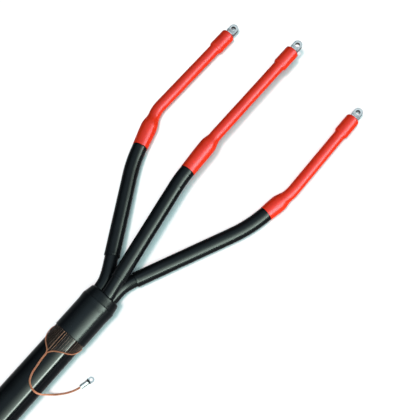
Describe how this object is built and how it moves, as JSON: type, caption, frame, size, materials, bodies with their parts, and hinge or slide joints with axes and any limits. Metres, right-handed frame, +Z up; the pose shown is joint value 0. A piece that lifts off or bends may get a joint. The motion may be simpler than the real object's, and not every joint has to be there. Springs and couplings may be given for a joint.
{
  "type": "cable termination",
  "caption": "Power cable termination lying flat: breakout boot, black and orange-red shrink tubes, tinned lugs and a copper earth pigtail folded back over the sheath.",
  "frame": {"origin": "on the floor, under the middle of the box without the earth pigtail and its lug", "axes": "+X along the cable towards the lugs, +Y to the left arm, +Z up from the floor it lies on"},
  "size_m": [0.7975, 0.2861, 0.0595],
  "materials": {
    "sheath": "black polyethylene sheath with a soft shine",
    "bedding": "grey filler compound",
    "copper_wire": "bare copper, duller in the fan",
    "boot": "black heat-shrink moulding, satin",
    "mastic": "soft sealing mastic",
    "conductor": "bare copper, compacted",
    "insulation": "natural cross-linked polyethylene",
    "core_screen": "black semi-conducting layer",
    "core_tube": "black heat-shrink tube, satin",
    "stress_tube": "black stress control tube",
    "red_tube": "orange-red anti-tracking tube, glossy",
    "tinned_lug": "tinned copper, satin"
  },
  "bodies": {
    "root": {"cable_sheath": "sheath", "cable_bedding": "bedding", "screen_wires": "copper_wire", "left_wire_bundle": "copper_wire", "right_wire_bundle": "copper_wire", "earth_pigtail": "copper_wire", "earth_lug": "tinned_lug", "breakout_boot": "boot", "crotch_mastic": "mastic", "left_conductor": "conductor", "middle_conductor": "conductor", "right_conductor": "conductor", "left_insulation": "insulation", "middle_insulation": "insulation", "right_insulation": "insulation", "left_core_screen": "core_screen", "middle_core_screen": "core_screen", "right_core_screen": "core_screen", "left_core_tube": "core_tube", "middle_core_tube": "core_tube", "right_core_tube": "core_tube", "left_stress_tube": "stress_tube", "middle_stress_tube": "stress_tube", "right_stress_tube": "stress_tube", "left_red_tube": "red_tube", "middle_red_tube": "red_tube", "right_red_tube": "red_tube", "left_lug_mastic": "mastic", "middle_lug_mastic": "mastic", "right_lug_mastic": "mastic", "left_lug": "tinned_lug", "middle_lug": "tinned_lug", "right_lug": "tinned_lug"}
  },
  "joints": []
}
